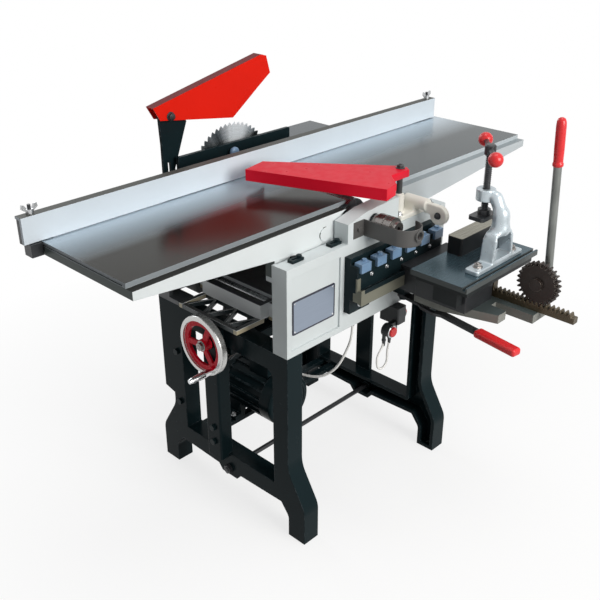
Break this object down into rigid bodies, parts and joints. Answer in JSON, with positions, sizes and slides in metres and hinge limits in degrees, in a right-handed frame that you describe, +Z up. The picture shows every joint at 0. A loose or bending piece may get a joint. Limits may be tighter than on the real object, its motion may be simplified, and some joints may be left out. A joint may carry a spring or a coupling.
{
  "type": "combination woodworking machine",
  "caption": "Surface planer and thicknesser with a circular saw at its back and a slot mortiser at its front, on a cast stand, driven by a motor through belts.",
  "frame": {"origin": "centre of the four foot bolts, on the floor", "axes": "+X along the tables to the infeed end, -Y to the operator and the mortiser, +Z up"},
  "size_m": [1.525, 1.12, 1.138],
  "materials": {
    "stand_black": "gloss enamel",
    "grey_paint": "satin enamel",
    "ground_iron": "ground",
    "red_paint": "gloss enamel",
    "white_paint": "satin enamel",
    "bright_steel": "turned",
    "blade_steel": "ground",
    "chrome": "polished",
    "silver_cast": "aluminium paint",
    "black_iron": "oil blackened",
    "gear_iron": "oiled",
    "red_plastic": "moulded",
    "box_plastic": "moulded",
    "cable_white": "sheath",
    "belt_rubber": "woven"
  },
  "bodies": {
    "stand": {"near_end_frame": "stand_black", "far_end_frame": "stand_black", "tie_rod": "bright_steel", "fasteners": "bright_steel", "front_side_casting": "grey_paint", "rear_side_casting": "grey_paint", "spindle_bearings": "bright_steel", "elevating_bridge": "stand_black", "guard_post": "stand_black", "guard_bracket": "white_paint", "mortise_knee": "stand_black", "gib_screws": "bright_steel", "switch_box": "box_plastic", "motor_body": "stand_black", "motor_rails": "stand_black", "v_belts": "belt_rubber", "chuck_guard": "grey_paint", "motor_cable": "cable_white", "switch_cable": "cable_white"},
    "outfeed": {"outfeed_table": "ground_iron"},
    "infeed": {"infeed_table": "ground_iron"},
    "fence": {"fence": "ground_iron", "fence_brackets": "black_iron", "wing_nuts": "bright_steel"},
    "planer_guard": {"planer_guard": "red_paint"},
    "spindle": {"cutter_block": "bright_steel", "planer_knives": "blade_steel", "spindle_pulley": "gear_iron", "drill_chuck": "bright_steel", "saw_clamp": "bright_steel", "saw_blade": "blade_steel"},
    "motor_rotor": {"motor_shaft": "bright_steel", "motor_pulley": "gear_iron"},
    "saw_table": {"saw_table": "ground_iron"},
    "rip_fence": {"rip_fence": "stand_black"},
    "saw_guard": {"saw_guard": "red_paint"},
    "bed": {"thickness_bed": "ground_iron", "elevating_screw": "bright_steel"},
    "near_roller": {"near_bed_roller": "bright_steel"},
    "far_roller": {"far_bed_roller": "bright_steel"},
    "lift_nut": {"lift_nut": "gear_iron"},
    "handwheel": {"handwheel_shaft": "bright_steel", "handwheel": "red_paint"},
    "crank_handle": {"crank_handle": "chrome"},
    "mortise_slide": {"mortise_slide": "black_iron", "base_arm": "silver_cast", "cross_link": "black_iron"},
    "mortise_table": {"mortise_table": "black_iron", "feed_rack": "gear_iron", "hold_down": "silver_cast"},
    "feed_pinion": {"feed_pinion": "gear_iron", "feed_lever": "black_iron", "feed_grip": "red_plastic"},
    "cross_lever": {"cross_lever": "black_iron", "cross_grip": "red_plastic"},
    "pressure_pad": {"pressure_pad": "silver_cast"},
    "hold_down_screw": {"hold_down_screw": "black_iron", "clamp_knobs": "red_plastic"},
    "start_button": {"start_button": "red_plastic"},
    "stop_button": {"stop_button": "red_plastic"}
  },
  "joints": [
    {"name": "spindle_turn", "type": "hinge", "parent": "stand", "child": "spindle", "pos_m": [0, 0, 0.815], "axis": [0, 1, 0], "continuous": true},
    {"name": "motor_turn", "type": "hinge", "parent": "stand", "child": "motor_rotor", "pos_m": [-0.1, 0.2, 0.235], "axis": [0, 1, 0], "continuous": true},
    {"name": "outfeed_height", "type": "slide", "parent": "stand", "child": "outfeed", "axis": [0.9397, 0, 0.342], "range_m": [0, 0.003]},
    {"name": "infeed_depth", "type": "slide", "parent": "stand", "child": "infeed", "axis": [0.9397, 0, -0.342], "range_m": [0, 0.018]},
    {"name": "fence_position", "type": "slide", "parent": "outfeed", "child": "fence", "axis": [0, 1, 0], "range_m": [-0.045, 0]},
    {"name": "planer_guard_swing", "type": "hinge", "parent": "stand", "child": "planer_guard", "pos_m": [0.141, -0.199, 0.9], "axis": [0, 0, 1], "range_deg": [0, 40], "stiffness_Nm_per_rad": 2},
    {"name": "saw_table_height", "type": "slide", "parent": "stand", "child": "saw_table", "axis": [0, 0, 1], "range_m": [0, 0.06]},
    {"name": "rip_fence_position", "type": "slide", "parent": "saw_table", "child": "rip_fence", "axis": [0, 1, 0], "range_m": [-0.085, 0]},
    {"name": "saw_guard_tilt", "type": "hinge", "parent": "stand", "child": "saw_guard", "pos_m": [-0.214, 0.3, 1.025], "axis": [0, 1, 0], "range_deg": [-35, 14]},
    {"name": "handwheel_turn", "type": "hinge", "parent": "stand", "child": "handwheel", "pos_m": [-0.358, 0.028, 0.502], "axis": [1, 0, 0], "range_deg": [-540, 3960]},
    {"name": "bed_height", "type": "slide", "parent": "stand", "child": "bed", "axis": [0, 0, 1], "range_m": [-0.0151, 0.1101]},
    {"name": "lift_nut_turn", "type": "hinge", "parent": "stand", "child": "lift_nut", "pos_m": [0, 0.028, 0.47], "axis": [0, 0, 1], "range_deg": [-3965, 545]},
    {"name": "near_roller_turn", "type": "hinge", "parent": "bed", "child": "near_roller", "pos_m": [-0.215, 0.028, 0.6045], "axis": [0, 1, 0], "continuous": true},
    {"name": "far_roller_turn", "type": "hinge", "parent": "bed", "child": "far_roller", "pos_m": [0.215, 0.028, 0.6045], "axis": [0, 1, 0], "continuous": true},
    {"name": "crank_handle_turn", "type": "hinge", "parent": "handwheel", "child": "crank_handle", "pos_m": [-0.41, -0.012, 0.445], "axis": [1, 0, 0], "continuous": true},
    {"name": "mortise_cross", "type": "slide", "parent": "stand", "child": "mortise_slide", "axis": [1, 0, 0], "range_m": [-0.05, 0.02]},
    {"name": "cross_lever_swing", "type": "hinge", "parent": "stand", "child": "cross_lever", "pos_m": [0.11, -0.256, 0.58], "axis": [0, 0, 1], "range_deg": [-27, 11]},
    {"name": "mortise_feed", "type": "slide", "parent": "mortise_slide", "child": "mortise_table", "axis": [0, 1, 0], "range_m": [0, 0.065]},
    {"name": "feed_lever_pull", "type": "hinge", "parent": "mortise_slide", "child": "feed_pinion", "pos_m": [0.205, -0.592, 0.692], "axis": [1, 0, 0], "range_deg": [0, 72]},
    {"name": "hold_down_turn", "type": "hinge", "parent": "pressure_pad", "child": "hold_down_screw", "pos_m": [0.187, -0.429, 0.9], "axis": [0, 0, 1], "range_deg": [-5040, 1440]},
    {"name": "pressure_pad_height", "type": "slide", "parent": "mortise_table", "child": "pressure_pad", "axis": [0, 0, 1], "range_m": [-0.0701, 0.0201]},
    {"name": "start_press", "type": "slide", "parent": "stand", "child": "start_button", "axis": [-1, 0, 0], "range_m": [0, 0.005], "stiffness_N_per_m": 800},
    {"name": "stop_press", "type": "slide", "parent": "stand", "child": "stop_button", "axis": [0, 1, 0], "range_m": [0, 0.005], "stiffness_N_per_m": 800}
  ],
  "couplings": [
    {"joint": "motor_turn", "follows": "spindle_turn", "ratio": 0.6},
    {"joint": "bed_height", "follows": "handwheel_turn", "m_per_rad": 0.0015915},
    {"joint": "lift_nut_turn", "follows": "handwheel_turn", "ratio": -1},
    {"joint": "cross_lever_swing", "follows": "mortise_cross", "rad_per_m": 9.2},
    {"joint": "feed_lever_pull", "follows": "mortise_feed", "rad_per_m": 19.231},
    {"joint": "pressure_pad_height", "follows": "hold_down_turn", "m_per_rad": 0.00079577}
  ]
}
